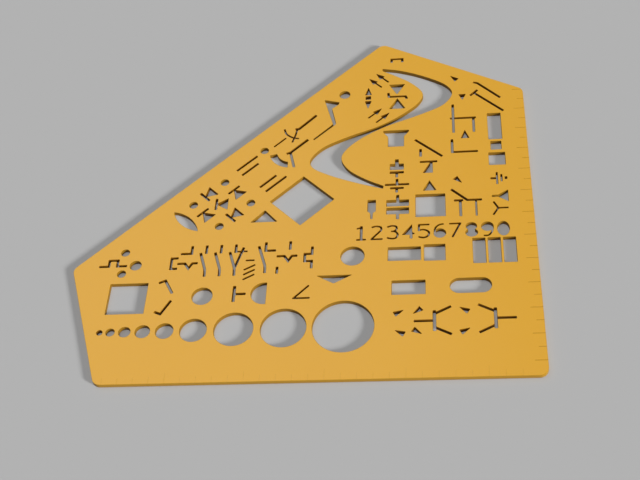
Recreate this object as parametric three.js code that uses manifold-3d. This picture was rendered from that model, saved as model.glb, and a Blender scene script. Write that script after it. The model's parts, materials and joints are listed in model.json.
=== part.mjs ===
// Electronic symbol template for circuit drawing: one flat sheet of amber plastic, with every
// symbol cut right through it and ruler graduations engraved along two of its straight edges.
// Millimetres, +Z up. The sheet lies on z = 0 with its outline centred over the origin.

import * as THREE from 'three';
import { mergeVertices } from 'three/addons/utils/BufferGeometryUtils.js';
import Module from 'manifold-3d';

// The sheet, measured to the corners as if they were sharp. Angles are in degrees: the short
// side's lean from upright, and how steeply the long edge rises and the roof edge falls.
const SHEET_THICKNESS = 1.5;
const BASE_LENGTH = 142.4;
const RIGHT_LENGTH = 125.7;
const LEFT_LENGTH = 49.3;
const LEFT_LEAN = 18.1;
const LONG_EDGE_RISE = 45.65;
const ROOF_FALL = 28.95;
const CORNER_RADIUS = 3;

// Widths of the slots that a pencil point follows
const SLOT = 0.8;
const FINE_SLOT = 0.55;
const BOLD_SLOT = 0.95;

// Ruler graduations: 5 mm apart up the right-hand edge, a fifth of an inch apart along the base
const TICK_WIDTH = 0.3;
const TICK_DEPTH = 0.15;
const TICK_LONG = 4;
const TICK_SHORT = 2.5;
const METRIC_PITCH = 5;
const METRIC_START = 5.5;
const METRIC_LONG_EVERY = 2;
const INCH_PITCH = 5.08;
const INCH_START = 2.5;
const INCH_LONG_EVERY = 5;
const INCH_FIRST_LONG = 4;

// The row of circles: diameters, and the web left between each circle and the next
const ROW_HEIGHT = 20.15;
const ROW_START = -2.35;
const ROW_DIAMETERS = [2, 3, 4, 5, 6, 9, 13, 15, 20];
const ROW_WEBS = [1.1, 1.3, 1.55, 1.8, 2.05, 2.3, 2.3, 1.85];

// Other round openings
const TERMINAL = 3;
const JUNCTION = 4;
const METER = 7;
const LAMP = 8;
const HALF_DISC_RADIUS = 4.35;

// Square and oblong openings
const FRAME_WIDTH = 13.1;
const FRAME_HEIGHT = 12.6;
const DIAMOND_SIDE = 16.1;
const CHIP_SIDE = 10.2;
const RESISTOR_LENGTH = 10.95;
const RESISTOR_WIDTH = 5.7;
const RELAY_WIDTH = 7.05;
const RELAY_HEIGHT = 6.85;
const FUSE_LENGTH = 13.5;
const FUSE_WIDTH = 6;
const COIL_WIDTH = 4.2;
const COIL_HEIGHT = 10.6;
const COIL_PITCH = 5.05;
const TUBE_WIDTH = 4.8;
const TUBE_HEIGHT = 13.2;

// Diodes and the bridge of diodes
const DIODE_SPAN = 4.1;
const DIODE_WIDTH = 5.1;
const BRIDGE_REACH = 10.3;
const BRIDGE_STEP = 5.1;

// Arrows and arrow tips
const ARROW_LENGTH = 6.8;
const ARROW_HEAD = 3.4;
const ARROW_WIDTH = 2.2;
const TIP_LENGTH = 3.3;
const TIP_WIDTH = 2;

// Capacitors and cells: plates, the web between them and the leads that stand on them
const PLATE_WIDTH = 7.75;
const PLATE_THICKNESS = 2.8;
const PLATE_WEB = 0.8;
const LEAD_LENGTH = 2.3;
const THIN_PLATE_WIDTH = 4.85;

// Switches and contacts
const CONTACT_HEIGHT = 3.6;
const CONTACT_RISE = 8.35;
const BLADE_FOOT = 3.3;
const BLADE_RUN = 2.15;
const BLADE_RISE = 6.9;
const POLE_PITCH = 5.1;

// Transistors
const BASE_LEAD = 6.5;
const BASE_BAR = 7.9;
const EMITTER_STEP = 2.6;
const EMITTER_RUN = 5.3;
const EMITTER_END = 5.4;

// Numerals
const NUMERAL_HEIGHT = 6.2;
const NUMERAL_WIDTH = 4.1;
const NUMERAL_PITCH = 5.32;

// How far a round stretch may stray from its true curve, how many steps a smooth curve takes
// between two of its points, and how far a cutter runs past a face
const CHORD_ERROR = 0.025;
const CURVE_STEPS = 4;
const OVERCUT = 1;

const radians = (degrees) => degrees * Math.PI / 180;

// Outlines: each is a closed list of [x, y] points

function arc(x, y, radius, fromDegrees, toDegrees) {
  const sweep = radians(toDegrees - fromDegrees);
  const widestStep = 2 * Math.acos(1 - CHORD_ERROR / radius);
  const count = Math.max(2, Math.ceil(Math.abs(sweep) / widestStep));
  const points = [];
  for (let i = 0; i <= count; i++) {
    const angle = radians(fromDegrees) + sweep * i / count;
    points.push([x + radius * Math.cos(angle), y + radius * Math.sin(angle)]);
  }
  return points;
}

function disc(diameter, x = 0, y = 0) {
  return arc(x, y, diameter / 2, 0, 360).slice(1);
}

function oval(width, height, x = 0, y = 0) {
  return disc(width).map(([px, py]) => [x + px, y + py * height / width]);
}

function rectangle(width, height, x = 0, y = 0) {
  const w = width / 2;
  const h = height / 2;
  return [[x - w, y - h], [x + w, y - h], [x + w, y + h], [x - w, y + h]];
}

// A level slot from one x to another, and an upright slot from one y to another
function bar(fromX, toX, y, width = SLOT) {
  return rectangle(toX - fromX, width, (fromX + toX) / 2, y);
}

function post(x, fromY, toY, width = SLOT) {
  return rectangle(width, toY - fromY, x, (fromY + toY) / 2);
}

// A triangle that points along +x, centred halfway between its base and its point
function pointer(length, width, x = 0, y = 0) {
  return [[x + length / 2, y], [x - length / 2, y + width / 2], [x - length / 2, y - width / 2]];
}

// A triangle that stands on its base, centred over x = 0
function triangle(base, height) {
  return [[-base / 2, 0], [base / 2, 0], [0, height]];
}

// A slot along a path of straight stretches, with mitred bends and square ends
function stroke(points, width = SLOT) {
  const path = points.map(([x, y]) => new THREE.Vector2(x, y));
  const normals = [];
  for (let i = 1; i < path.length; i++) {
    const along = path[i].clone().sub(path[i - 1]).normalize();
    normals.push(new THREE.Vector2(-along.y, along.x));
  }
  const left = [];
  const right = [];
  path.forEach((point, i) => {
    const before = normals[Math.max(i - 1, 0)];
    const after = normals[Math.min(i, normals.length - 1)];
    const mitre = before.clone().add(after).normalize();
    mitre.multiplyScalar(width / 2 / mitre.dot(after));
    left.push([point.x + mitre.x, point.y + mitre.y]);
    right.unshift([point.x - mitre.x, point.y - mitre.y]);
  });
  return [...left, ...right];
}

// Points along a smooth curve through the given ones
function smooth(points, steps = CURVE_STEPS) {
  const through = points.map(([x, y]) => new THREE.Vector3(x, y, 0));
  const curve = new THREE.CatmullRomCurve3(through, false, 'centripetal');
  return curve.getPoints(steps * (points.length - 1)).map((p) => [p.x, p.y]);
}

function roundedPolygon(corners, radius) {
  const outline = [];
  corners.forEach((corner, i) => {
    const here = new THREE.Vector2(...corner);
    const back = new THREE.Vector2(...corners.at(i - 1)).sub(here).normalize();
    const on = new THREE.Vector2(...corners[(i + 1) % corners.length]).sub(here).normalize();
    const half = Math.acos(back.dot(on)) / 2;
    const centre = here.clone().add(back.clone().add(on).setLength(radius / Math.sin(half)));
    const start = here.clone().addScaledVector(back, radius / Math.tan(half)).sub(centre);
    const from = THREE.MathUtils.radToDeg(start.angle());
    const sweep = 180 - THREE.MathUtils.radToDeg(2 * half);
    outline.push(...arc(centre.x, centre.y, radius, from, from + sweep));
  });
  return outline;
}

// Moves a symbol's outlines to their place, turned by an angle in degrees
function place(outlines, x, y, turn = 0) {
  const c = Math.cos(radians(turn));
  const s = Math.sin(radians(turn));
  return outlines.map((points) => points.map(([px, py]) => [x + c * px - s * py, y + s * px + c * py]));
}

function mirrored(outlines) {
  return outlines.map((points) => points.map(([x, y]) => [-x, y]));
}

// The sheet's outline: a square lower right corner, a leaning short side and a pitched top
function sheetOutline() {
  const lean = radians(90 + LEFT_LEAN);
  const left = [LEFT_LENGTH * Math.cos(lean), LEFT_LENGTH * Math.sin(lean)];
  const rise = Math.tan(radians(LONG_EDGE_RISE));
  const fall = Math.tan(radians(ROOF_FALL));
  const peakX = (RIGHT_LENGTH + fall * BASE_LENGTH - left[1] + rise * left[0]) / (rise + fall);
  const peak = [peakX, left[1] + rise * (peakX - left[0])];
  return roundedPolygon([[0, 0], [BASE_LENGTH, 0], [BASE_LENGTH, RIGHT_LENGTH], peak, left], CORNER_RADIUS);
}

// Round openings

function circleRow() {
  let edge = ROW_START;
  return ROW_DIAMETERS.map((diameter, i) => {
    const circle = disc(diameter, edge + diameter / 2, ROW_HEIGHT);
    edge += diameter + (ROW_WEBS[i] ?? 0);
    return circle;
  });
}

// Half disc behind a short straight run
function halfDisc() {
  const straight = 0.75;
  const radius = HALF_DISC_RADIUS;
  return [[...arc(-straight, 0, radius, 90, 270), [0, -radius], [0, radius]]];
}

// Lens: two equal arcs that meet in points
function lens() {
  const chord = 13.1;
  const rise = 1.95;
  const radius = chord * chord / 8 / rise + rise / 2;
  const half = THREE.MathUtils.radToDeg(Math.asin(chord / 2 / radius));
  const upper = arc(0, rise - radius, radius, 90 - half, 90 + half);
  const lower = arc(0, radius - rise, radius, 270 - half, 270 + half);
  return [[...upper.slice(1), ...lower.slice(1)]];
}

// Part of a ring
function crescent() {
  const inner = 5.5;
  const outer = 8.1;
  return [[...arc(0, 0, outer, 193, 262), ...arc(0, 0, inner, 258, 193)]];
}

// The tall curve opening: two sweeping sides with a blunt tip at each end
function curveOpening() {
  const outer = [
    [90.2, 140.5], [97, 138.9], [106.5, 134.8], [114.3, 129.5], [116.3, 125.3], [113.3, 119.7],
    [104.4, 114.7], [92, 109.4], [83.3, 104.1], [77.5, 98.4], [75.8, 94.1], [78.4, 88.5], [85, 83.2],
    [91.2, 79.8],
  ];
  const inner = [
    [91, 78.6], [80.3, 82.4], [70.9, 86.6], [65.5, 90.3], [64.6, 93.6], [68.5, 99.3], [77.1, 104.3],
    [89.6, 109.7], [98.1, 115.3], [104.1, 121.2], [105.5, 125.6], [101.7, 131.3], [94.7, 136.6],
    [90.3, 139.3],
  ];
  return [[outer, inner].flatMap((side) => smooth(side))];
}

// Frames and blocks

function fuse() {
  const radius = FUSE_WIDTH / 2;
  const centre = (FUSE_LENGTH - FUSE_WIDTH) / 2;
  return [[...arc(centre, 0, radius, -90, 90), ...arc(-centre, 0, radius, 90, 270)]];
}

function coils() {
  return [-1, 0, 1].map((step) => rectangle(COIL_WIDTH, COIL_HEIGHT, step * COIL_PITCH, 0));
}

// Loudspeaker: a box with a flared mouth, drawn from the middle of its back
function loudspeaker() {
  const box = 2.85;
  const mouth = 4.65;
  const flareFrom = 5;
  const flareTo = 7.4;
  const front = 8.1;
  return [[
    [-box, 0], [box, 0], [box, flareFrom], [mouth, flareTo], [mouth, front],
    [-mouth, front], [-mouth, flareTo], [-box, flareFrom],
  ]];
}

// Plug: a body that narrows into a long neck, drawn from the middle of its shoulder
function plug() {
  const body = 1.4;
  const top = 5.1;
  const neck = [0.45, -0.75];
  const tip = [0.3, -3.5];
  return [[
    [-body, top], [-body, 0], [-neck[0], neck[1]], [-tip[0], tip[1]], tip, neck, [body, 0], [body, top],
  ]];
}

// Diodes and triangles

function diode() {
  const point = DIODE_SPAN / 2;
  return [pointer(DIODE_SPAN, DIODE_WIDTH), post(point, -DIODE_WIDTH / 2, DIODE_WIDTH / 2)];
}

// Bridge rectifier: four terminals, four diodes on the slanting arms and one in the middle
function bridge() {
  const holes = [];
  for (let side = 0; side < 4; side++) {
    holes.push(...place([disc(TERMINAL, BRIDGE_REACH)], 0, 0, side * 90));
  }
  for (const step of [-BRIDGE_STEP, BRIDGE_STEP]) {
    holes.push(...place(diode(), step, step, 135));
    holes.push(...place(diode(), -step, step, 225));
  }
  return [...holes, ...place(diode(), 0, 0, 180)];
}

// Breakdown diode: a bar with a bent tail at each end, between two triangles point to point
function breakdownDiode() {
  const half = 3.1;
  return [
    place([triangle(5.9, 5.35)], 0, -6.45)[0],
    stroke([[-half - 0.3, 2.1], [-half, 0], [half, -0.1], [half + 0.5, -1.4]]),
    place([triangle(5.9, 5.25)], -0.1, 6.55, 180)[0],
  ];
}

// Crystal between two slender triangles
function crystal() {
  const base = 2.4;
  const height = 3.85;
  const gap = 1.6;
  return [
    place([triangle(base, height)], 0, gap)[0],
    rectangle(1.9, 1.7),
    place([triangle(base, height)], 0, -gap - 0.15, 180)[0],
  ];
}

// Bar over a right triangle that hangs from it
function flag() {
  return [bar(-3, 3.05, 0), [[-2, -5.3], [1.45, -5.3], [1.35, 0.1], [0.9, 0.1]]];
}

// Arrowhead with a short lead at its point
function arrowWithLead() {
  return [[[0, 0], [4, -2.6], [4, 2.6]], bar(-1.5, 0.9, 0)];
}

function lightArrow() {
  const neck = ARROW_LENGTH / 2 - ARROW_HEAD;
  return [
    pointer(ARROW_HEAD, ARROW_WIDTH, neck + ARROW_HEAD / 2),
    bar(-ARROW_LENGTH / 2, neck + FINE_SLOT, 0, FINE_SLOT),
  ];
}

function tip() {
  return [pointer(TIP_LENGTH, TIP_WIDTH)];
}

// Capacitors and cells, with a lead above and a lead below

function plates() {
  return [1, -1].flatMap((side) => [
    rectangle(PLATE_WIDTH, PLATE_THICKNESS, 0, side * (PLATE_WEB + PLATE_THICKNESS) / 2),
    rectangle(BOLD_SLOT, LEAD_LENGTH + SLOT, 0, side * (PLATE_THICKNESS + LEAD_LENGTH / 2)),
  ]);
}

// Thick plate over a thin one
function polarPlates() {
  return [
    rectangle(THIN_PLATE_WIDTH, PLATE_THICKNESS, 0, 1.9),
    post(0, 1.9, 3.2 + LEAD_LENGTH, 1.25),
    rectangle(THIN_PLATE_WIDTH, BOLD_SLOT, 0, -0.85),
    post(0, -0.85 - LEAD_LENGTH, -0.85),
  ];
}

// Long line over a short one
function cell() {
  const line = 0.85;
  return [
    bar(-4.1, 4.3, line),
    post(0.1, line, line + LEAD_LENGTH + 0.3),
    bar(-2.25, 2.4, -line),
    post(0, -line - LEAD_LENGTH + 0.3, -line),
  ];
}

// Thin upright lines that shrink to a dot
function thinCell() {
  return [
    bar(-2.2, 0, 0),
    rectangle(FINE_SLOT, 5.5),
    rectangle(FINE_SLOT, 3.3, 1.55, 0.1),
    rectangle(SLOT, 1.15, 3.1, 0.05),
  ];
}

// Switches and contacts

function contact(height = CONTACT_HEIGHT) {
  return [post(0, -height / 2, height / 2)];
}

// Blade of a switch: a short upright foot and a long leaning arm
function blade(reach = 1) {
  return [stroke([[0.15, -BLADE_FOOT], [0, 0], [-BLADE_RUN * reach, BLADE_RISE * reach]])];
}

// Three poles of a contactor under their contacts, with a fixed contact on each side, a second
// arm on the third pole, and a longer blade beyond
function switchGroup() {
  const holes = [];
  for (let pole = 0; pole < 3; pole++) {
    holes.push(...place(blade(), pole * POLE_PITCH, 0));
    holes.push(...place(contact(), pole * POLE_PITCH - 0.15, CONTACT_RISE));
  }
  holes.push(stroke([[-9, 6.8], [-5.25, 6.8], [-5.25, 10.1]]));
  holes.push(stroke([[2 * POLE_PITCH - 0.05, -0.4], [12.75, 8.7]]));
  holes.push(bar(2 * POLE_PITCH, 14.1, 7, FINE_SLOT));
  holes.push(...place(blade(1.2), 4 * POLE_PITCH + 0.15, 0.7));
  holes.push(stroke([[4 * POLE_PITCH, 10.6], [4 * POLE_PITCH, 6.95], [23.9, 6.95]]));
  return holes;
}

// Change-over contact: a slanting arm that runs into a bar, a fixed bar, and a lead under each
function changeOver() {
  const lead = -7.15;
  return [
    stroke([[-2.75, 5.2], [2.6, 0.05], [7.6, 0]]),
    bar(-1.85, 1.2, 0),
    post(0.25, lead, 0),
    post(5.6, lead, 0, FINE_SLOT),
  ];
}

// Catch of a latching contact: two level runs with a vee between them
function catchNotch() {
  const depth = 2.15;
  return [stroke([[-4, depth], [-1.4, depth], [0, 0], [1.2, depth], [3, depth]])];
}

function pulse() {
  const height = 2.55;
  return [stroke([[-6.1, 0], [-2.75, 0], [-2.75, height], [0.2, height], [0.2, 0], [3.6, 0]])];
}

function bracket(depth, height) {
  return [stroke([[depth, height / 2], [0, height / 2], [0, -height / 2], [depth, -height / 2]])];
}

function crank() {
  const arm = 3.1;
  const throwWidth = 2.4;
  return [stroke([
    [throwWidth, 2 * arm], [throwWidth, arm], [0, arm], [0, 0], [throwWidth, 0], [throwWidth, -arm],
  ])];
}

function hook() {
  return [stroke([[-2.1, -0.95], [0, 0], [2.95, -5.4]])];
}

// Three slanting dashes under a level one
function dashes() {
  const pitch = 2.05;
  const slant = pitch / 2;
  const reach = 1.85;
  const holes = [bar(-1.5, 1.45, 7.1, FINE_SLOT)];
  for (let line = 0; line < 3; line++) {
    holes.push(stroke([[-reach, line * pitch - slant], [reach, line * pitch + slant]], FINE_SLOT));
  }
  return holes;
}

function tee() {
  return [post(0, -3.2, 3.2, BOLD_SLOT), bar(0, 3.9, -0.1)];
}

function angle() {
  return [stroke([[4.8, 5.1], [0.1, 0.15]], FINE_SLOT), bar(-0.35, 5.3, 0, FINE_SLOT)];
}

// Three short lines from one point
function star() {
  const ends = [[-1.5, 2.9], [3.4, 0], [-1.8, -3]];
  return ends.map((end) => stroke([[0, 0], end], FINE_SLOT));
}

// Four slanting slots for windings, in two staggered pairs
function windings() {
  const long = 9.7;
  const short = 7.7;
  return [[short, 0, 1.4], [long, -1.4, 4.4], [short, 7, -4.85], [long, 9.95, -6.25]].map(
    ([length, x, y]) => place([bar(-length / 2, length / 2, 0)], x, y, 45)[0],
  );
}

// Solid-state devices

function transistor() {
  return [
    bar(-BASE_LEAD, 0, 0),
    post(0, -BASE_BAR / 2, BASE_BAR / 2, BOLD_SLOT),
    stroke([[0, EMITTER_STEP], [EMITTER_RUN, EMITTER_END]]),
    stroke([[0, -EMITTER_STEP], [EMITTER_RUN, -EMITTER_END]]),
  ];
}

// Channel of a field-effect device: a bent bar, a gate line and two leads, one of them curved
function channel() {
  return [
    stroke([[0, 3.9], [1.4, 4], [7.5, 10.7]], BOLD_SLOT),
    stroke([[0.7, 3.7], [0, 0.1], [-0.8, -2.8]], FINE_SLOT),
    stroke(smooth([[-4.1, 4.1], [-3.3, 1.8], [-2.1, 0.5], [-0.3, -0.6], [1.5, -1]]), FINE_SLOT),
    stroke([[-7.4, -4.7], [-3.3, -0.5]], FINE_SLOT),
  ];
}

function bentLead() {
  return [stroke([[-1.5, -0.6], [0, 0], [6, 6.1]], BOLD_SLOT), stroke([[-0.2, 0.1], [1.6, -7.4]])];
}

// Gate: an upright post on a level bar that ends in a second post
function gate() {
  const half = 7.25;
  return [post(0, -half, half), bar(-1.1, 8.2, 0), post(7.3, -half, 0.2)];
}

function corner() {
  return [stroke([[0, 6.3], [0, 0], [9, 0]])];
}

// Adjusters: a slanting line with a bent end, and one with a crossbar
function bentAdjuster() {
  return [stroke([[-1.5, 0.45], [0, 0], [8, -8.3]])];
}

function crossedAdjuster() {
  return [stroke([[-1.35, -1.4], [1.35, 1.4]]), stroke([[0, 0], [10.3, -10.2]])];
}

// Flat vee of a dish
function vee() {
  return [[[-5.7, 3.3], [5.9, 3.3], [0, 0]]];
}

// Wedge that tapers into a long bent line
function taper() {
  return [[
    [-4.3, 13.2], [1.3, 11.6], [0.9, 10.4], [-1.4, 8.4], [0.4, 0.5], [0, -0.3], [-7.3, -7.6],
    [-7.7, -7.2], [-0.6, 0.2],
  ]];
}

// Numerals 1 to 9 and 0, each NUMERAL_WIDTH wide and NUMERAL_HEIGHT tall, centred over x = 0.
// Their bowls are open ovals, because a loop would drop its middle out of the sheet.
function numerals() {
  const w = NUMERAL_WIDTH / 2;
  const h = NUMERAL_HEIGHT;
  const low = FINE_SLOT / 2;
  const top = h - low;
  const bowl = h * 0.64;
  const line = (...points) => stroke(points, FINE_SLOT);
  const bend = (...points) => stroke(smooth(points, 3), FINE_SLOT);
  const one = [
    post(0, 0, h, SLOT),
    line([-w * 0.75, top - 0.75], [0, top - 0.4]),
    line([-w * 0.8, low], [w * 0.8, low]),
  ];
  const two = [
    bend([-w * 0.85, top - 0.4], [-w * 0.1, top], [w * 0.65, top - 0.5], [w * 0.7, h * 0.68],
      [w * 0.4, h * 0.55], [-w * 0.85, 0.45]),
    line([-w, low], [w * 0.95, low]),
  ];
  const three = [
    bend([-w * 0.85, top - 0.5], [-w * 0.1, top], [w * 0.6, top - 0.4], [w * 0.65, h * 0.7],
      [w * 0.2, h * 0.57], [-w * 0.2, h * 0.56]),
    bend([-w * 0.2, h * 0.56], [w * 0.45, h * 0.53], [w * 0.85, h * 0.35], [w * 0.55, low + 0.3],
      [-w * 0.1, low], [-w * 0.9, low + 0.5]),
  ];
  const four = [
    [[-w, h * 0.29], [w * 0.62, h * 0.29], [w * 0.62, h]],
    post(w * 0.48, 0.1, h * 0.5),
    line([w * 0.4, h * 0.36], [w, h * 0.36]),
  ];
  const five = [
    line([w * 0.9, top], [-w * 0.8, top], [-w * 0.85, h * 0.52]),
    bend([-w * 0.85, h * 0.57], [0, h * 0.6], [w * 0.8, h * 0.42], [w * 0.7, h * 0.18], [0, low],
      [-w * 0.9, low + 0.4]),
  ];
  const six = [
    oval(2 * w, bowl, 0, bowl / 2),
    bend([w * 0.65, top], [-w * 0.1, top - 0.3], [-w * 0.7, h * 0.7], [-w * 0.86, h * 0.4]),
  ];
  const seven = [line([-w, top], [w * 0.85, top]), line([w * 0.85, h], [-w * 0.55, 0.05])];
  const eight = [oval(2 * w, h * 0.56, 0, h * 0.28), oval(1.8 * w, h * 0.54, 0, h * 0.73)];
  const nine = [
    oval(2 * w, bowl, 0, h - bowl / 2),
    bend([w * 0.86, h * 0.6], [w * 0.7, h * 0.3], [w * 0.1, low + 0.05], [-w * 0.65, low]),
  ];
  const zero = [oval(2 * w, h, 0, h / 2)];
  const row = [one, two, three, four, five, six, seven, eight, nine, zero];
  return row.flatMap((numeral, i) => place(numeral, (i - (row.length - 1) / 2) * NUMERAL_PITCH, 0));
}

// The layout, in millimetres from the sheet's lower left corner, as if that corner were still sharp

function lowerLeft() {
  return [
    ...place([rectangle(FRAME_WIDTH, FRAME_HEIGHT)], 5.75, 33.75),
    ...place([disc(METER)], 31.4, 33.85),
    ...place([disc(LAMP)], 81.15, 48.75),
    ...place([disc(JUNCTION)], 6.7, 47.8),
    ...place([disc(TERMINAL)], 2.25, 44.35),
    ...place([disc(TERMINAL)], 2.25, 53.55),
    ...place(pulse(), 0, 47.75),
    ...place(hook(), 18.1, 40.85),
    ...place(mirrored(place(hook(), 0, 0, 180)), 18.1, 27),
    ...place(bracket(2.25, 4.5), 19.1, 48.1),
    ...place(catchNotch(), 25.3, 45.8),
    ...place(catchNotch(), 59.4, 47.6),
    ...place(switchGroup(), 31, 45.4),
    ...place(dashes(), 46.4, 41.3),
    ...place(contact(2.8), 55.85, 43.8),
    ...place(contact(), 59.8, 54.3),
    ...place(tee(), 42.1, 34.4),
    ...place(halfDisc(), 52.9, 34.3),
    ...place(angle(), 62.2, 31.85),
    ...place(vee(), 75.2, 37.5),
    ...place(crank(), 65, 47.25),
  ];
}

function upperLeft() {
  return [
    ...place(lens(), 21.9, 66.85, -43.5),
    ...place(bridge(), 34.1, 74.35),
    ...place([triangle(9.3, 5.3)], 49.75, 65.3),
    ...place([rectangle(DIAMOND_SIDE, DIAMOND_SIDE)], 62.6, 74.6, 45),
    ...place(windings(), 42.85, 89.2),
    ...place([disc(TERMINAL)], 47.4, 99.6),
    ...place(crescent(), 57.5, 98.9),
    ...place(bentLead(), 57.2, 98.2),
    ...place(channel(), 58.2, 106.1),
    ...place(taper(), 72.8, 111.6),
    ...place([disc(JUNCTION)], 76.05, 127.15),
  ];
}

function middle() {
  return [
    ...place(crystal(), 85, 124.8),
    ...place(lightArrow(), 87.7, 116.4, 44),
    ...place(lightArrow(), 90.6, 113.95, 45),
    ...place(lightArrow(), 87.6, 132.75, 134),
    ...place(lightArrow(), 90.2, 135.4, 134),
    ...place(breakdownDiode(), 95.9, 124.85),
    ...place(bracket(1.8, 4.1), 95.7, 145.7, -90),
    ...place(loudspeaker(), 95.5, 98.85),
    ...place(polarPlates(), 95.85, 86.85),
    ...place(cell(), 95.85, 79.4),
    ...place(plates(), 96.2, 69.8),
    ...place(plug(), 87.2, 68.3),
    ...place(numerals(), 107.8, 55.4),
  ];
}

function lowerRight() {
  return [
    ...place([rectangle(RESISTOR_LENGTH, RESISTOR_WIDTH)], 98.5, 49),
    ...place([rectangle(RESISTOR_LENGTH, RESISTOR_WIDTH)], 99.85, 34.9),
    ...place([rectangle(RELAY_WIDTH, RELAY_HEIGHT)], 108.6, 49.15),
    ...place(coils(), 128.4, 49.35),
    ...place(fuse(), 120, 35),
    ...place(transistor(), 108.05, 21.35),
    ...place(mirrored(transistor()), 127.35, 21.75),
    ...place(tip(), 96.95, 17.2, 152),
    ...place(tip(), 96.75, 25, 28),
    ...place(tip(), 102.6, 17.3, -34),
    ...place(tip(), 102.6, 25.3, 218),
    ...place(tip(), 117.5, 25.5, 148),
    ...place(tip(), 117.75, 17.4, 28),
  ];
}

function upperRight() {
  return [
    ...place([rectangle(CHIP_SIDE, CHIP_SIDE)], 107.5, 70),
    ...place([triangle(4.6, 4.6)], 107.3, 76.9),
    ...place(flag(), 107.1, 90.6),
    ...place([stroke([[-4.8, 4.35], [4.8, -4.35]])], 107.2, 97.35),
    ...place(contact(), 104.35, 95.1),
    ...place(changeOver(), 117.5, 71.7),
    ...place(tip(), 117.4, 81.1, -47),
    ...place(corner(), 115.65, 94.75),
    ...place([triangle(3, 3.9)], 120.4, 101.5),
    ...place(gate(), 116.4, 111.75),
    ...place([triangle(2.6, 2.9)], 120.05, 124.3, 180),
    ...place(tip(), 117.1, 133.4, 134),
    ...place(bentAdjuster(), 125.9, 129.9),
    ...place(crossedAdjuster(), 124.4, 124.8),
    ...place([rectangle(TUBE_WIDTH, TUBE_HEIGHT)], 131.15, 106.9),
    ...place([rectangle(3.75, 4.1)], 131.2, 97.2),
    ...place([rectangle(5.75, 5.95)], 131.25, 90.7),
    ...place(thinCell(), 130.75, 81.3),
    ...place(arrowWithLead(), 130.15, 73.1),
    ...place(star(), 130.5, 67.6),
  ];
}

function openings() {
  return [
    ...circleRow(), ...curveOpening(), ...lowerLeft(), ...upperLeft(), ...middle(), ...lowerRight(),
    ...upperRight(),
  ];
}

const wasm = await Module();
wasm.setup();

function toSolid(geometry) {
  geometry.deleteAttribute('normal');
  geometry.deleteAttribute('uv');
  const welded = mergeVertices(geometry);
  const mesh = new wasm.Mesh({
    numProp: 3,
    vertProperties: new Float32Array(welded.getAttribute('position').array),
    triVerts: new Uint32Array(welded.getIndex().array),
  });
  return new wasm.Manifold(mesh);
}

function prism(outline, bottom, height) {
  const shape = new THREE.Shape(outline.map(([x, y]) => new THREE.Vector2(x, y)));
  const geometry = new THREE.ExtrudeGeometry(shape, { depth: height, bevelEnabled: false });
  return toSolid(geometry.translate(0, 0, bottom));
}

// A graduation: a vee groove in the face z = 0 that runs from an edge at the origin along +y
function groove(length) {
  const flare = TICK_WIDTH / 2 * (1 + OVERCUT / TICK_DEPTH);
  const section = new THREE.Shape([
    new THREE.Vector2(-flare, OVERCUT), new THREE.Vector2(0, -TICK_DEPTH), new THREE.Vector2(flare, OVERCUT),
  ]);
  const geometry = new THREE.ExtrudeGeometry(section, { depth: length + OVERCUT, bevelEnabled: false });
  return geometry.translate(0, 0, -length).rotateX(Math.PI / 2);
}

function graduations() {
  const grooves = [];
  for (let i = 0; METRIC_START + i * METRIC_PITCH < RIGHT_LENGTH; i++) {
    const length = i % METRIC_LONG_EVERY === 0 ? TICK_LONG : TICK_SHORT;
    const line = groove(length).rotateZ(Math.PI / 2);
    grooves.push(line.translate(BASE_LENGTH, METRIC_START + i * METRIC_PITCH, SHEET_THICKNESS));
  }
  for (let i = 0; INCH_START + i * INCH_PITCH < BASE_LENGTH - CORNER_RADIUS; i++) {
    const length = (i - INCH_FIRST_LONG) % INCH_LONG_EVERY === 0 ? TICK_LONG : TICK_SHORT;
    grooves.push(groove(length).translate(INCH_START + i * INCH_PITCH, 0, SHEET_THICKNESS));
  }
  return grooves;
}

function buildSheet() {
  let solid = prism(sheetOutline(), 0, SHEET_THICKNESS);
  for (const outline of openings()) {
    solid = solid.subtract(prism(outline, -OVERCUT, SHEET_THICKNESS + 2 * OVERCUT));
  }
  for (const line of graduations()) {
    solid = solid.subtract(toSolid(line));
  }
  const mesh = solid.getMesh();
  const geometry = new THREE.BufferGeometry();
  geometry.setAttribute('position', new THREE.BufferAttribute(mesh.vertProperties, 3));
  geometry.setIndex(new THREE.BufferAttribute(mesh.triVerts, 1));
  geometry.computeBoundingBox();
  const centre = geometry.boundingBox.getCenter(new THREE.Vector3());
  geometry.translate(-centre.x, -centre.y, 0);
  geometry.computeVertexNormals();
  return geometry;
}

const amberPlastic = new THREE.MeshStandardMaterial({ color: 0xdda84b, roughness: 0.45, metalness: 0 });

const sheet = new THREE.Mesh(buildSheet(), amberPlastic);
sheet.name = 'template_sheet';

const template = new THREE.Group();
template.add(sheet);

export default template;
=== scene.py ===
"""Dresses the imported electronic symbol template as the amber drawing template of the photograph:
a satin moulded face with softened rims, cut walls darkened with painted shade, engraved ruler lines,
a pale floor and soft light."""

import json
import math

import bmesh
import bpy
from bpy.props import FloatProperty, FloatVectorProperty, IntProperty, PointerProperty
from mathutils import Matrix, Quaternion, Vector
from mathutils.geometry import delaunay_2d_cdt, intersect_line_line_2d

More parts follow.
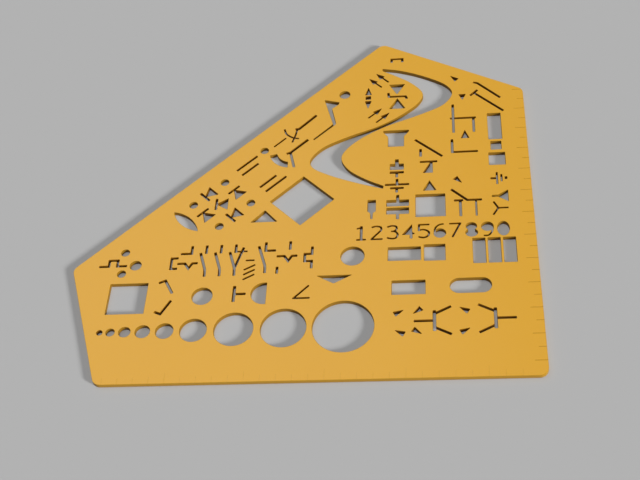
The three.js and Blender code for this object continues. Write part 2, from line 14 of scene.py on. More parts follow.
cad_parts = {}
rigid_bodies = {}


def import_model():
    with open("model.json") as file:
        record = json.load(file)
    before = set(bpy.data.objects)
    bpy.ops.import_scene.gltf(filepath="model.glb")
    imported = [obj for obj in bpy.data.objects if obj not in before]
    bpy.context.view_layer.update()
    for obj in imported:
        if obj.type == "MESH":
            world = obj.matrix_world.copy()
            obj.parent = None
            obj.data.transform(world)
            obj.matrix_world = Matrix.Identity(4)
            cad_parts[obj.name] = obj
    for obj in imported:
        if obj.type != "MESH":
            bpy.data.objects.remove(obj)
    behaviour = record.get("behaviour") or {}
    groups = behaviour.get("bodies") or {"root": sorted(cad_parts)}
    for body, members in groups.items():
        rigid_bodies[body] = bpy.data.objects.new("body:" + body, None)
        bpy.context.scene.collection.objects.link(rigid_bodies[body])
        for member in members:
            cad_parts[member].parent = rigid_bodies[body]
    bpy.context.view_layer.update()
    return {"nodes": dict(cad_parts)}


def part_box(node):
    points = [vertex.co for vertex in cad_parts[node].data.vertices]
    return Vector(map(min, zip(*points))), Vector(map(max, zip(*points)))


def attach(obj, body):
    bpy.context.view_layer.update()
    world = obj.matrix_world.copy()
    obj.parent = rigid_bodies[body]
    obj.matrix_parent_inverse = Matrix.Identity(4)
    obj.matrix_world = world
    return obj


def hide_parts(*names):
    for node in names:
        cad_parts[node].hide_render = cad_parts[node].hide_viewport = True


bl_info = {
    "name": "Electronic Symbol Template",
    "version": (1, 0, 0),
    "blender": (4, 5, 0),
    "location": "3D View > Sidebar > Template",
    "description": "Builds the amber drawing template around its packed solid, and the stage it lies on",
    "category": "Object",
}

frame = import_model()
SHEET_NODE = "template_sheet"
BODY = "root"

MILLIMETRE = 0.001
SHEET_LOW, SHEET_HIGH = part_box(SHEET_NODE)
THICKNESS = SHEET_HIGH.z - SHEET_LOW.z

# Two points of the solid nearer than this are the same point. A face whose normal points up by more than
# the first share slopes, as a groove's does, and by more than the second is level.
WELD = 0.5e-6
SLOPING = 0.1
LEVEL = 0.999

# Stretches of groove whose places differ by less than this are one ruler line
SAME_LINE = 0.1 * MILLIMETRE

# Sides of an outline shorter than the first are dropped, and so are points where it turns by less than the
# second. A facet that would stand further off its curve than the third isn't one: it is a straight side
# next to a shallow corner.
SHORTEST_SIDE = 0.03 * MILLIMETRE
SMALLEST_TURN = math.radians(0.05)
LARGEST_FACET_RISE = 0.07 * MILLIMETRE

# A corner's rounding takes up no more than this share of each of its sides, and a pointed tip of the sheet
# is rounded this many times further than its rim needs
LARGEST_CORNER_SHARE = 0.45
TIP_MARGIN = 1.4

# How many points further on an inset outline is looked at for a side that crosses this one
FOLD_REACH = 12

# An opening narrower than this is a narrow slot, whose walls get the darkest painted shade
NARROW_SLOT_WIDTH = 1.2 * MILLIMETRE

# Material slots of the sheet. The walls and the outer edge get colours darkened as painted shade.
FACE, WALL, SLOT_WALL, EDGE, GROOVE = range(5)


def linear(hex_colour):
    """An sRGB hex value as the linear colour that shaders work in."""
    channels = [int(hex_colour[i:i + 2], 16) / 255 for i in (1, 3, 5)]
    return [c / 12.92 if c <= 0.04045 else ((c + 0.055) / 1.055) ** 2.4 for c in channels]


def per_metre(size_mm):
    """The scale of a pattern whose cells are that many millimetres across."""
    return 1 / (size_mm * MILLIMETRE)


def add_node(tree, kind, sockets=None, **settings):
    """Adds a node with its settings. A socket's value is a number, a colour or the output that feeds it."""
    node = tree.nodes.new(kind)
    for name, value in settings.items():
        setattr(node, name, value)
    for name, value in (sockets or {}).items():
        socket = node.inputs[name] if isinstance(name, int) else used_socket(node.inputs, name)
        if isinstance(value, bpy.types.NodeSocket):
            tree.links.new(value, socket)
        else:
            socket.default_value = value
    return node


def used_socket(sockets, name):
    """The socket of that name that the node's settings leave in use. A mix node has several of one name."""
    return next(socket for socket in sockets if socket.enabled and socket.name == name)


def mixed_colour(tree, factor, first, second):
    """The output of a node that mixes two colours."""
    mix = add_node(tree, "ShaderNodeMix", data_type="RGBA", sockets={
        "Factor": factor, "A": (*first, 1), "B": (*second, 1),
    })
    return used_socket(mix.outputs, "Result")


def new_material(name):
    """An empty node material, its tree and its output node."""
    material = bpy.data.materials.new(name)
    material.use_nodes = True
    tree = material.node_tree
    tree.nodes.clear()
    return material, tree, add_node(tree, "ShaderNodeOutputMaterial")


# Sizes and colours that a user would change

class TemplateSheetSizes(bpy.types.PropertyGroup):
    rim_radius: FloatProperty(
        name="Rim radius", description="Rounding of the rims of the sheet and of every opening",
        default=0.1 * MILLIMETRE, min=0.01 * MILLIMETRE, max=0.3 * MILLIMETRE, precision=5,
        unit="LENGTH", subtype="DISTANCE")
    rim_steps: IntProperty(
        name="Rim steps", description="Facets across the rounding of a rim or of a sharp corner", default=3,
        min=1, max=6)
    corner_reach: FloatProperty(
        name="Corner reach", description="How far back from a sharp corner its rounding starts",
        default=0.2 * MILLIMETRE, min=0.0, max=0.4 * MILLIMETRE, precision=5,
        unit="LENGTH", subtype="DISTANCE")
    corner_angle: FloatProperty(
        name="Corner angle", description="A turn sharper than this is a corner, and a gentler one is a curve",
        default=math.radians(35), min=math.radians(5), max=math.radians(80), subtype="ANGLE")
    curve_steps: IntProperty(
        name="Curve steps", description="Stretches that each facet of a curve is divided into",
        default=3, min=1, max=8)
    flat_spacing: FloatProperty(
        name="Flat spacing", description="Spacing of the points that divide the flat face",
        default=4 * MILLIMETRE, min=1 * MILLIMETRE, max=50 * MILLIMETRE, precision=5,
        unit="LENGTH", subtype="DISTANCE")
    edge_line_width: FloatProperty(
        name="Ruler edge line width", description="Width at the face of a line on the right-hand ruler edge",
        default=0.22 * MILLIMETRE, min=0.05 * MILLIMETRE, max=1 * MILLIMETRE, precision=5,
        unit="LENGTH", subtype="DISTANCE")
    base_line_width: FloatProperty(
        name="Base line width", description="Width at the face of a line on the base, which is fainter",
        default=0.05 * MILLIMETRE, min=0.03 * MILLIMETRE, max=1 * MILLIMETRE, precision=5,
        unit="LENGTH", subtype="DISTANCE")
    base_line_depth: FloatProperty(
        name="Base line depth", description="Depth of a line on the base, which is only scored",
        default=0.03 * MILLIMETRE, min=0.01 * MILLIMETRE, max=0.15 * MILLIMETRE, precision=5,
        unit="LENGTH", subtype="DISTANCE")


class TemplateSheetFinish(bpy.types.PropertyGroup):
    face_colour: FloatVectorProperty(
        name="Face", description="Moulded face of the amber sheet", size=3, min=0, max=1,
        default=linear("#daa222"), subtype="COLOR")
    cloud_colour: FloatVectorProperty(
        name="Clouding", description="Slightly deeper amber of the face's soft clouding", size=3,
        min=0, max=1, default=linear("#d79e20"), subtype="COLOR")
    # Darker than the face as painted shade on the walls of the wide openings
    wall_colour_painted_shade: FloatVectorProperty(
        name="Cut wall", description="Walls of the wide openings, darker than the face as painted shade", size=3, min=0,
        max=1, default=linear("#926a18"), subtype="COLOR")
    # Darkest of the walls: painted shade for the narrow slots, where little light reaches
    slot_wall_colour_painted_shade: FloatVectorProperty(
        name="Slot wall", description="Walls of the narrow slots, darkened further as painted shade",
        size=3, min=0, max=1, default=linear("#7d5109"), subtype="COLOR")
    # Darker than the face as painted shade on the sheet's outer side
    edge_colour_painted_shade: FloatVectorProperty(
        name="Outer edge", description="Buffed outer edge of the sheet, darker than the face as painted shade", size=3, min=0, max=1,
        default=linear("#b68824"), subtype="COLOR")
    line_colour: FloatVectorProperty(
        name="Ruler line", description="Engraved ruler lines", size=3, min=0, max=1,
        default=linear("#c09026"), subtype="COLOR")
    gloss_roughness: FloatProperty(
        name="Roughness", description="Roughness of the satin face", default=0.28, min=0, max=1,
        subtype="FACTOR")


class TemplateStage(bpy.types.PropertyGroup):
    camera_place: FloatVectorProperty(
        name="Camera place", description="Where the photograph was taken from", size=3,
        default=(0.05150, -0.26837, 0.30010), precision=5, unit="LENGTH", subtype="TRANSLATION")
    camera_aim: FloatVectorProperty(
        name="Camera aim", description="Point of the floor in the middle of the photograph", size=3,
        default=(0.00586, -0.01950, 0.0), precision=5, unit="LENGTH", subtype="TRANSLATION")
    camera_roll: FloatProperty(
        name="Camera roll", description="Turn of the camera about its own axis",
        default=math.radians(-10.07), subtype="ANGLE")
    focal_length: FloatProperty(
        name="Focal length", description="Focal length on a sensor 36 mm wide", default=64.54, min=10,
        max=300, unit="CAMERA")
    floor_colour: FloatVectorProperty(
        name="Floor", description="Plain pale floor and background", size=3, min=0, max=1,
        default=linear("#b2b2b2"), subtype="COLOR")
    floor_size: FloatProperty(
        name="Floor size", description="Side of the square floor", default=6.0, min=1, max=20,
        unit="LENGTH", subtype="DISTANCE")
    side_light: FloatProperty(
        name="Side light", description="Share of the floor's light that comes from the low side lamp",
        default=0.39, min=0, max=1, subtype="FACTOR")
    side_bearing: FloatProperty(
        name="Side light bearing", description="Direction of the side lamp, from +X towards +Y",
        default=math.radians(-30.5), subtype="ANGLE")
    side_height: FloatProperty(
        name="Side light height", description="Angle of the side lamp above the floor",
        default=math.radians(17.6), subtype="ANGLE")
    side_softness: FloatProperty(
        name="Side light softness", description="Width of the side lamp as seen from the sheet",
        default=math.radians(10), subtype="ANGLE")
    top_light: FloatProperty(
        name="Top light", description="Share of the floor's light that comes from overhead",
        default=0.42, min=0, max=1, subtype="FACTOR")
    top_softness: FloatProperty(
        name="Top light softness", description="Width of the overhead lamp as seen from the sheet",
        default=math.radians(6), subtype="ANGLE")
    back_light: FloatProperty(
        name="Back light", description="Share of the floor's light that comes from the broad lamp behind",
        default=0.14, min=0, max=1, subtype="FACTOR")
    back_bearing: FloatProperty(
        name="Back light bearing", description="Direction of the lamp behind, from +X towards +Y",
        default=math.radians(132), subtype="ANGLE")
    back_height: FloatProperty(
        name="Back light height", description="Angle of the lamp behind above the floor",
        default=math.radians(58), subtype="ANGLE")
    back_softness: FloatProperty(
        name="Back light softness", description="Width of the lamp behind as seen from the sheet",
        default=math.radians(50), subtype="ANGLE")
    room_light: FloatProperty(
        name="Room light", description="Strength of the even light from all round", default=0.05,
        min=0, max=1, subtype="FACTOR")


# Outlines of the sheet and its openings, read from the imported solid

def level_outlines(node):
    """The closed outlines of the solid's underside, in metres: the sheet's own, and one for each opening."""
    solid = bmesh.new()
    solid.from_mesh(frame["nodes"][node].data)
    bmesh.ops.remove_doubles(solid, verts=solid.verts, dist=WELD)
    following = {}
    for face in solid.faces:
        if face.normal.z > -LEVEL:
            continue
        for loop in face.loops:
            across = loop.link_loop_radial_next.face
            if across.normal.z > -LEVEL:
                following[loop.vert] = loop.link_loop_next.vert
    outlines = []
    while following:
        here = next(iter(following.values()))
        outline = []
        while here in following:
            outline.append(here.co.xy.copy())
            here = following.pop(here)
        outlines.append(outline)
    solid.free()
    if not outlines:
        raise RuntimeError("the packed sheet has no level underside to read")
    return outlines


def open_width(outline):
    """Twice the outline's area over its length, which is about the width of a slot. The sheet's own
    outline runs the other way round, so there it is negative."""
    twice_area = sum(outline[i - 1].cross(here) for i, here in enumerate(outline))
    length = sum((here - outline[i - 1]).length for i, here in enumerate(outline))
    return twice_area / length


def side_material(outline):
    """The material slot of the wall that stands on an outline. Each of these slots has a colour darkened as
    painted shade, the narrow slots most.
    """
    width = open_width(outline)
    if width < 0:
        return EDGE
    return SLOT_WALL if width < NARROW_SLOT_WIDTH else WALL


def turn_at(before, here, after):
    """How far a path turns at a point, in radians: positive to the left."""
    a = here - before
    b = after - here
    return math.atan2(a.x * b.y - a.y * b.x, a.dot(b))


def without_needless_points(outline):
    """Drops the points that lie on a straight stretch, and joins points that are almost the same."""
    apart = [
        here for i, here in enumerate(outline)
        if (here - outline[i - 1]).length > SHORTEST_SIDE
    ]
    count = len(apart)
    return [
        here for i, here in enumerate(apart)
        if abs(turn_at(apart[i - 1], here, apart[(i + 1) % count])) > SMALLEST_TURN
    ]


def curved_facets(outline, corner_angle, steps):
    """Divides each facet of a curve along an arc that fits its neighbours, and leaves straight sides alone.
    Returns points with a mark on those that are sharp corners."""
    count = len(outline)
    turns = [turn_at(outline[i - 1], outline[i], outline[(i + 1) % count]) for i in range(count)]
    sides = [outline[(i + 1) % count] - outline[i] for i in range(count)]
    fitted = []
    for i, side in enumerate(sides):
        fitted.append((outline[i], abs(turns[i]) > corner_angle))
        bends = []
        for turn, neighbour in ((turns[i], sides[i - 1]), (turns[(i + 1) % count], sides[(i + 1) % count])):
            if abs(turn) <= corner_angle:
                bends.append(turn * side.length / (side.length + neighbour.length))
        if not bends:
            continue
        rise = side.length / 2 * math.tan(sum(bends) / len(bends) / 2)
        if abs(rise) > LARGEST_FACET_RISE:
            continue
        outward = Vector((side.y, -side.x)).normalized() * rise
        for step in range(1, steps):
            share = step / steps
            fitted.append((outline[i] + side * share + outward * 4 * share * (1 - share), False))
    return fitted


def rounded_corners(fitted, sizes):
    """Replaces each marked corner with a short curve that starts and ends on its sides. A pointed tip of
    the sheet is rounded further, so that its rim has room for its own rounding."""
    count = len(fitted)
    rounded = []
    for i, (here, sharp) in enumerate(fitted):
        if not sharp:
            rounded.append(here)
            continue
        before = fitted[i - 1][0]
        after = fitted[(i + 1) % count][0]
        turn = turn_at(before, here, after)
        reach = sizes.corner_reach
        if turn < 0:
            reach = max(reach, TIP_MARGIN * sizes.rim_radius * math.tan(-turn / 2))
        back = before - here
        on = after - here
        start = here + back.normalized() * min(reach, back.length * LARGEST_CORNER_SHARE)
        end = here + on.normalized() * min(reach, on.length * LARGEST_CORNER_SHARE)
        for step in range(sizes.rim_steps + 1):
            share = step / sizes.rim_steps
            rounded.append(start * (1 - share) ** 2 + here * 2 * share * (1 - share) + end * share ** 2)
    return rounded


def inset_outline(outline, distance):
    """The outline moved into the sheet, which lies on its right. Where it would fold over itself at a
    small corner, its points meet instead."""
    count = len(outline)
    moved = []
    for i, here in enumerate(outline):
        before = (here - outline[i - 1]).normalized()
        after = (outline[(i + 1) % count] - here).normalized()
        side = Vector((before.y + after.y, -before.x - after.x))
        moved.append(here + side * 2 / max(side.length_squared, 1.0) * distance)
    for i in range(count):
        for gap in range(min(FOLD_REACH, count // 2), 1, -1):
            j = i + gap
            met = intersect_line_line_2d(
                moved[i], moved[(i + 1) % count], moved[j % count], moved[(j + 1) % count])
            if met is not None:
                for k in range(i + 1, j + 1):
                    moved[k % count] = met
                break
    return moved


def rim_profile(radius, steps):
    """(share of the way from the wall to the flat, height) from the underside up to the face."""
    quarter = [math.pi / 2 * step / steps for step in range(steps + 1)]
    lower = [(1 - math.sin(a), radius * (1 - math.cos(a))) for a in quarter]
    upper = [(share, THICKNESS - height) for share, height in reversed(lower)]
    return lower + upper


# The pieces

def sheet_mesh(name, sizes):
    """The sheet: a level face and underside joined by walls whose rims are rounded."""
    shape = bmesh.new()
    profile = rim_profile(sizes.rim_radius, sizes.rim_steps)
    flat_loops = []
    # The points of the two flats, each as its vertex below and above
    flat_pairs = []
    for outline in level_outlines(SHEET_NODE):
        side_slot = side_material(outline)
        fitted = curved_facets(without_needless_points(outline), sizes.corner_angle, sizes.curve_steps)
        outline = rounded_corners(fitted, sizes)
        inner = inset_outline(outline, sizes.rim_radius)
        rings = []
        for share, height in profile:
            ring = [
                shape.verts.new((*wall.lerp(flat, share), SHEET_LOW.z + height))
                for wall, flat in zip(outline, inner)
            ]
            rings.append(ring)
        for lower, upper in zip(rings, rings[1:]):
            for i in range(len(lower)):
                side = shape.faces.new((lower[i], lower[i - 1], upper[i - 1], upper[i]))
                side.material_index = side_slot
        flat_loops.append(list(range(len(flat_pairs), len(flat_pairs) + len(outline))))
        flat_pairs += zip(rings[0], rings[-1])
    for x, y in flat_grid(sizes.flat_spacing):
        flat_pairs.append((shape.verts.new((x, y, SHEET_LOW.z)), shape.verts.new((x, y, SHEET_HIGH.z))))
    triangles_inside_with_holes = 2
    _, _, triangles, origins, _, _ = delaunay_2d_cdt(
        [above.co.xy for _, above in flat_pairs], [], flat_loops, triangles_inside_with_holes, WELD)
    if not all(origins):
        raise RuntimeError("the outlines of the sheet's flat face cross each other")
    for triangle in triangles:
        below, above = zip(*(flat_pairs[origins[corner][0]] for corner in triangle))
        shape.faces.new(above).material_index = FACE
        shape.faces.new(reversed(below)).material_index = FACE
    bmesh.ops.delete(shape, geom=[v for v in shape.verts if not v.link_faces], context="VERTS")
    bmesh.ops.remove_doubles(shape, verts=shape.verts, dist=WELD)
    mesh = bpy.data.meshes.new(name)
    shape.to_mesh(mesh)
    shape.free()
    return mesh


def flat_grid(spacing):
    """Points spread evenly over the sheet, which keep the triangles of its flats well shaped."""
    columns = int((SHEET_HIGH.x - SHEET_LOW.x) / spacing)
    rows = int((SHEET_HIGH.y - SHEET_LOW.y) / spacing)
    return [
        (SHEET_LOW.x + (column + 0.5) * spacing, SHEET_LOW.y + (row + 0.5) * spacing)
        for column in range(columns) for row in range(rows)
    ]


def ruler_lines(node):
    """The bottom of each vee groove of the solid's ruler lines: (point at the sheet's edge, inner end)."""
    solid = bmesh.new()
    solid.from_mesh(frame["nodes"][node].data)
    bmesh.ops.remove_doubles(solid, verts=solid.verts, dist=WELD)
    points_by_line = {}
    for edge in solid.edges:
        ends = [vertex.co.copy() for vertex in edge.verts]
        level = abs(ends[0].z - ends[1].z) < WELD
        under_face = ends[0].z < SHEET_HIGH.z - WELD
        if level and under_face and all(SLOPING < face.normal.z < LEVEL for face in edge.link_faces):
            along = 0 if abs(ends[0].x - ends[1].x) > abs(ends[0].y - ends[1].y) else 1
            place = round(ends[0][1 - along] / SAME_LINE)
            points_by_line.setdefault((along, place), []).extend(ends)
    solid.free()
    lines = []
    for (along, _), points in points_by_line.items():
        points.sort(key=lambda point: point[along])
        lowest, highest = points[0], points[-1]
        lines.append((highest, lowest) if along == 0 else (lowest, highest))
    return lines


def groove_cutters(name, sizes):
    """One vee-shaped bar along each ruler line, which runs out past the edge and above the face."""
    shape = bmesh.new()
    for outer, inner in ruler_lines(SHEET_NODE):
        along = (outer - inner).normalized()
        width, depth = sizes.edge_line_width, SHEET_HIGH.z - inner.z
        if abs(along.y) > abs(along.x):
            width, depth = sizes.base_line_width, sizes.base_line_depth
        across = Vector((along.y, -along.x, 0))
        overshoot = 2 * depth
        flare = width / 2 * (depth + overshoot) / depth
        top = Vector((0, 0, depth + overshoot))
        ends = []
        for place in (inner, outer + along * overshoot):
            point = Vector((place.x, place.y, SHEET_HIGH.z - depth))
            section = (point, point + top + across * flare, point + top - across * flare)
            ends.append([shape.verts.new(corner) for corner in section])
        shape.faces.new(ends[0])
        shape.faces.new(reversed(ends[1]))
        for i in range(3):
            shape.faces.new((ends[0][i - 1], ends[0][i], ends[1][i], ends[1][i - 1]))
    for face in shape.faces:
        face.material_index = GROOVE
    bmesh.ops.recalc_face_normals(shape, faces=shape.faces)
    mesh = bpy.data.meshes.new(name)
    shape.to_mesh(mesh)
    shape.free()
    return mesh


def level_flats(mesh):
    """Shades the flats as level right up to the rims, and lets each rim's rounding start from there."""
    level = {}
    for face in mesh.polygons:
        if face.material_index == FACE:
            for vertex in face.vertices:
                level[vertex] = (0, 0, math.copysign(1, face.normal.z))
    normals = [tuple(corner.vector) for corner in mesh.corner_normals]
    for face in mesh.polygons:
        if face.material_index != GROOVE:
            for loop in face.loop_indices:
                vertex = mesh.loops[loop].vertex_index
                normals[loop] = level.get(vertex, normals[loop])
    mesh.normals_split_custom_set(normals)


def link_object(name, data):
    """A new object of the scene."""
    made = bpy.data.objects.new(name, data)
    bpy.context.scene.collection.objects.link(made)
    return made


# Materials

def moulded_face(finish):
    """Amber polystyrene sheet, moulded against a satin plate. To the eye: an opaque warm yellow with a
    soft haze, faint clouding, a very fine grain and a few hair scratches from pencils and cleaning."""
    material, tree, output = new_material("Amber polystyrene, satin moulded face")
    place = add_node(tree, "ShaderNodeTexCoord").outputs["Object"]
    clouds = add_node(tree, "ShaderNodeTexNoise", {"Vector": place, "Scale": per_metre(38), "Detail": 3.0})
    colour = mixed_colour(tree, clouds.outputs["Fac"], finish.face_colour, finish.cloud_colour)
    # The plate's real grain is about 0.05 mm; it is drawn coarser so that it shows
    grain = add_node(tree, "ShaderNodeTexNoise", {"Vector": place, "Scale": per_metre(0.35), "Detail": 2.0})
    grained = add_node(tree, "ShaderNodeBump", {
        "Height": grain.outputs["Fac"], "Strength": 0.06, "Distance": 0.02 * MILLIMETRE,
    })
    scratches = hair_scratches(tree, place)
    scratched = add_node(tree, "ShaderNodeBump", {
        "Height": scratches, "Strength": 0.15, "Distance": 0.01 * MILLIMETRE,
        "Normal": grained.outputs["Normal"],
    })
    roughness = add_node(tree, "ShaderNodeMapRange", {
        "Value": scratches, "To Min": finish.gloss_roughness, "To Max": finish.gloss_roughness + 0.1,
    })
    shader = add_node(tree, "ShaderNodeBsdfPrincipled", {
        "Base Color": colour, "Roughness": roughness.outputs["Result"], "IOR": 1.59,
        "Normal": scratched.outputs["Normal"],
    })
    tree.links.new(shader.outputs["BSDF"], output.inputs["Surface"])
    return material


def hair_scratches(tree, place):
    """Sparse thin lines in two directions, in worn patches: 1 on a scratch, 0 off it."""
    scratches = 0.0
    for angle, length_mm in ((math.radians(24), 30), (math.radians(-58), 22)):
        turned = add_node(tree, "ShaderNodeMapping", {
            "Vector": place, "Rotation": (0, 0, angle), "Scale": (length_mm * MILLIMETRE, 4 * MILLIMETRE, 1),
        }, vector_type="TEXTURE")
        cells = add_node(tree, "ShaderNodeTexVoronoi", {
            "Vector": turned.outputs["Vector"], "Scale": 1.0,
        }, feature="DISTANCE_TO_EDGE")
        line = add_node(tree, "ShaderNodeMapRange", {
            "Value": cells.outputs["Distance"], "From Min": 0.0, "From Max": 0.01,
            "To Min": 1.0, "To Max": 0.0,
        })
        scratches = add_node(tree, "ShaderNodeMath", {0: scratches, 1: line.outputs["Result"]},
                             operation="MAXIMUM").outputs["Value"]
    wear = add_node(tree, "ShaderNodeTexNoise", {"Vector": place, "Scale": per_metre(11), "Detail": 1.0})
    patches = add_node(tree, "ShaderNodeMapRange", {
        "Value": wear.outputs["Fac"], "From Min": 0.52, "From Max": 0.62,
    })
    return add_node(tree, "ShaderNodeMath", {0: scratches, 1: patches.outputs["Result"]},
                    operation="MULTIPLY").outputs["Value"]


def shaded_cut_side(name, colour, roughness):
    """The same polystyrene where a cutter went through it. To the eye: deeper and more saturated than
    the face as painted shade, with fine level lines from the tool."""
    material, tree, output = new_material(name)
    place = add_node(tree, "ShaderNodeTexCoord").outputs["Object"]
    stretched = add_node(tree, "ShaderNodeMapping", {
        "Vector": place, "Scale": (per_metre(4), per_metre(4), per_metre(0.12)),
    })
    lines = add_node(tree, "ShaderNodeTexNoise", {
        "Vector": stretched.outputs["Vector"], "Scale": 1.0, "Detail": 2.0,
    })
    darker = [channel * 0.88 for channel in colour]
    shade = mixed_colour(tree, lines.outputs["Fac"], colour, darker)
    bump = add_node(tree, "ShaderNodeBump", {
        "Height": lines.outputs["Fac"], "Strength": 0.3, "Distance": 0.02 * MILLIMETRE,
    })
    shader = add_node(tree, "ShaderNodeBsdfPrincipled", {
        "Base Color": shade, "Roughness": roughness, "IOR": 1.59, "Specular IOR Level": 0.25,
        "Normal": bump.outputs["Normal"],
    })
    tree.links.new(shader.outputs["BSDF"], output.inputs["Surface"])
    return material


def engraved_line(finish):
    """The bottom of an engraved ruler line: scored plastic, matt and a little darker than the face."""
    material, tree, output = new_material("Amber polystyrene, engraved line")
    place = add_node(tree, "ShaderNodeTexCoord").outputs["Object"]
    dust = add_node(tree, "ShaderNodeTexNoise", {"Vector": place, "Scale": per_metre(0.6), "Detail": 3.0})
    darker = [channel * 0.8 for channel in finish.line_colour]
    shade = mixed_colour(tree, dust.outputs["Fac"], finish.line_colour, darker)
    shader = add_node(tree, "ShaderNodeBsdfPrincipled", {"Base Color": shade, "Roughness": 0.7, "IOR": 1.59})
    tree.links.new(shader.outputs["BSDF"], output.inputs["Surface"])
    return material


def matt_floor(colour):
    """Matt painted board. To the eye: one even pale grey, with a trace of tooth."""
    material, tree, output = new_material("Painted board, matt pale grey")
    place = add_node(tree, "ShaderNodeTexCoord").outputs["Object"]
    tooth = add_node(tree, "ShaderNodeTexNoise", {"Vector": place, "Scale": per_metre(0.8), "Detail": 2.0})
    bump = add_node(tree, "ShaderNodeBump", {
        "Height": tooth.outputs["Fac"], "Strength": 0.05, "Distance": 0.02 * MILLIMETRE,
    })
    shader = add_node(tree, "ShaderNodeBsdfDiffuse", {
        "Color": (*colour, 1), "Roughness": 0.0, "Normal": bump.outputs["Normal"],
    })
    tree.links.new(shader.outputs["BSDF"], output.inputs["Surface"])
    return material


# Operators

class TEMPLATE_OT_cut_sheet(bpy.types.Operator):
    """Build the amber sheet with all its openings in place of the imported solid"""
    bl_idname = "symbol_template.cut_sheet"
    bl_label = "Cut Sheet"

    def execute(self, context):
        sizes = context.scene.template_sheet_sizes
        finish = context.scene.template_sheet_finish
        sheet = link_object("amber_sheet", sheet_mesh("amber_sheet", sizes))
        for material in (
            moulded_face(finish),
            # The wall, slot wall and outer edge colours are darkened as painted shade
            shaded_cut_side("Amber polystyrene, routed wall with painted shade", finish.wall_colour_painted_shade, 0.6),
            shaded_cut_side("Amber polystyrene, slot wall with painted shade", finish.slot_wall_colour_painted_shade, 0.7),
            shaded_cut_side("Amber polystyrene, buffed outer edge with painted shade", finish.edge_colour_painted_shade, 0.45),
            engraved_line(finish),
        ):
            sheet.data.materials.append(material)
        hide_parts(SHEET_NODE)
        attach(sheet, BODY)
        return {"FINISHED"}


class TEMPLATE_OT_engrave_rulers(bpy.types.Operator):
    """Engrave the ruler lines in the sheet and smooth its shading"""
    bl_idname = "symbol_template.engrave_rulers"
    bl_label = "Engrave Ruler Lines"

    def execute(self, context):
        sizes = context.scene.template_sheet_sizes
        sheet = bpy.data.objects["amber_sheet"]
        cutters = link_object("ruler_cutters", groove_cutters("ruler_cutters", sizes))
        for material in sheet.data.materials:
            cutters.data.materials.append(material)
        engraving = sheet.modifiers.new("Ruler lines", "BOOLEAN")
        engraving.operation = "DIFFERENCE"
        engraving.solver = "MANIFOLD"
        engraving.object = cutters
        engraved = sheet.evaluated_get(context.evaluated_depsgraph_get())
        mesh = bpy.data.meshes.new_from_object(engraved)
        sheet.modifiers.clear()
        spent = (sheet.data, cutters.data)
        sheet.data = mesh
        bpy.data.objects.remove(cutters)
        bpy.data.batch_remove(spent)
        if not any(face.material_index == GROOVE for face in mesh.polygons):
            raise RuntimeError("the ruler lines cut nothing from the sheet")
        mesh.name = "amber_sheet"
        mesh.shade_smooth()
        mesh.set_sharp_from_angle(angle=sizes.corner_angle)
        level_flats(mesh)
        return {"FINISHED"}


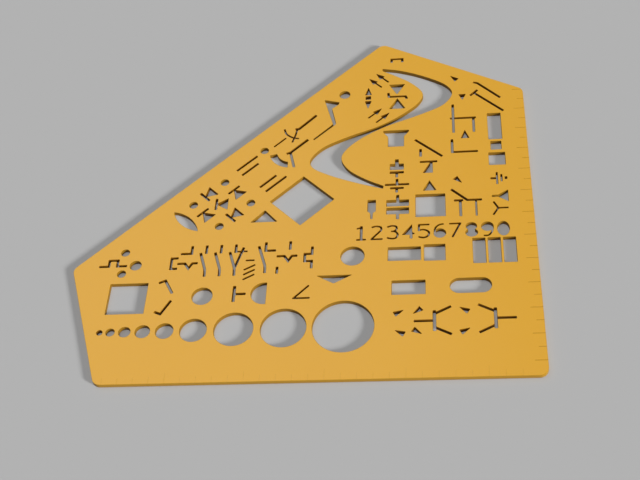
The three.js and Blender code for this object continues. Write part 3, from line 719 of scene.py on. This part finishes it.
class TEMPLATE_OT_set_stage(bpy.types.Operator):
    """Set the floor, the lamps, the even room light and the photograph's camera"""
    bl_idname = "symbol_template.set_stage"
    bl_label = "Set Stage"

    def execute(self, context):
        stage = context.scene.template_stage
        self.lay_floor(stage)
        self.light_room(context, stage)
        self.hang_lamp("side_lamp", stage.side_light, stage.side_bearing, stage.side_height,
                       stage.side_softness)
        self.hang_lamp("top_lamp", stage.top_light, 0, math.pi / 2, stage.top_softness)
        self.hang_lamp("back_lamp", stage.back_light, stage.back_bearing, stage.back_height,
                       stage.back_softness, mirrored=True)
        self.place_camera(context, stage)
        context.scene.view_settings.view_transform = "Standard"
        return {"FINISHED"}

    def lay_floor(self, stage):
        half = stage.floor_size / 2
        mesh = bpy.data.meshes.new("floor")
        corners = [(-half, -half, 0), (half, -half, 0), (half, half, 0), (-half, half, 0)]
        mesh.from_pydata(corners, [], [(0, 1, 2, 3)])
        mesh.materials.append(matt_floor(stage.floor_colour))
        floor = link_object("floor", mesh)
        floor.location.z = SHEET_LOW.z

    def light_room(self, context, stage):
        """Even light from all round, while the camera and reflections see the floor's own colour."""
        world = bpy.data.worlds.new("pale room")
        world.use_nodes = True
        tree = world.node_tree
        tree.nodes.clear()
        light = add_node(tree, "ShaderNodeBackground", {"Color": (1, 1, 1, 1), "Strength": stage.room_light})
        seen = add_node(tree, "ShaderNodeBackground", {"Color": (*stage.floor_colour, 1), "Strength": 1.0})
        path = add_node(tree, "ShaderNodeLightPath")
        glossy = add_node(tree, "ShaderNodeMath", {
            0: path.outputs["Is Camera Ray"], 1: path.outputs["Is Glossy Ray"],
        }, operation="MAXIMUM")
        any_view = add_node(tree, "ShaderNodeMath", {
            0: glossy.outputs["Value"], 1: path.outputs["Is Transmission Ray"],
        }, operation="MAXIMUM")
        mix = add_node(tree, "ShaderNodeMixShader", {
            0: any_view.outputs["Value"], 1: light.outputs["Background"], 2: seen.outputs["Background"],
        })
        add_node(tree, "ShaderNodeOutputWorld", {"Surface": mix.outputs["Shader"]})
        context.scene.world = world

    def hang_lamp(self, name, share, bearing, height, softness, mirrored=False):
        """A distant lamp that gives the floor that share of full light. Only a broad one is mirrored in the
        gloss, because a narrow one would burn the sheet out to white when seen from across it."""
        lamp = bpy.data.lights.new(name, "SUN")
        lamp.angle = softness
        lamp.energy = share * math.pi / math.sin(height)
        towards = Vector((math.cos(bearing) * math.cos(height), math.sin(bearing) * math.cos(height),
                          math.sin(height)))
        hung = link_object(name, lamp)
        hung.rotation_mode = "QUATERNION"
        hung.rotation_quaternion = towards.to_track_quat("Z", "Y")
        hung.location = towards
        hung.visible_glossy = mirrored

    def place_camera(self, context, stage):
        data = bpy.data.cameras.new("camera")
        data.sensor_width = 36
        data.lens = stage.focal_length
        data.clip_start = 0.01
        camera = link_object("camera", data)
        place = Vector(stage.camera_place)
        towards_viewer = place - Vector(stage.camera_aim)
        camera.location = place
        camera.rotation_mode = "QUATERNION"
        level = towards_viewer.to_track_quat("Z", "Y")
        camera.rotation_quaternion = level @ Quaternion((0, 0, 1), stage.camera_roll)
        context.scene.camera = camera


class TEMPLATE_PT_builder(bpy.types.Panel):
    """Lists the sizes, colours and steps of the template"""
    bl_idname = "TEMPLATE_PT_builder"
    bl_label = "Symbol Template"
    bl_space_type = "VIEW_3D"
    bl_region_type = "UI"
    bl_category = "Template"

    def draw(self, context):
        for group_name, operators in SECTIONS:
            box = self.layout.box()
            group = getattr(context.scene, group_name)
            for name in group.bl_rna.properties.keys():
                if name not in ("rna_type", "name"):
                    box.prop(group, name)
            for operator in operators:
                box.operator(operator.bl_idname)


PROPERTY_GROUPS = {
    "template_sheet_sizes": TemplateSheetSizes,
    "template_sheet_finish": TemplateSheetFinish,
    "template_stage": TemplateStage,
}
SECTIONS = (
    ("template_sheet_sizes", (TEMPLATE_OT_cut_sheet, TEMPLATE_OT_engrave_rulers)),
    ("template_sheet_finish", ()),
    ("template_stage", (TEMPLATE_OT_set_stage,)),
)
CLASSES = (
    *PROPERTY_GROUPS.values(),
    TEMPLATE_OT_cut_sheet,
    TEMPLATE_OT_engrave_rulers,
    TEMPLATE_OT_set_stage,
    TEMPLATE_PT_builder,
)


def register():
    for cls in CLASSES:
        bpy.utils.register_class(cls)
    for name, group in PROPERTY_GROUPS.items():
        setattr(bpy.types.Scene, name, PointerProperty(type=group))


def unregister():
    for name in PROPERTY_GROUPS:
        delattr(bpy.types.Scene, name)
    for cls in reversed(CLASSES):
        bpy.utils.unregister_class(cls)


def main():
    register()
    bpy.ops.symbol_template.cut_sheet()
    bpy.ops.symbol_template.engrave_rulers()
    bpy.ops.symbol_template.set_stage()
    bpy.context.view_layer.update()


if __name__ == "__main__":
    main()
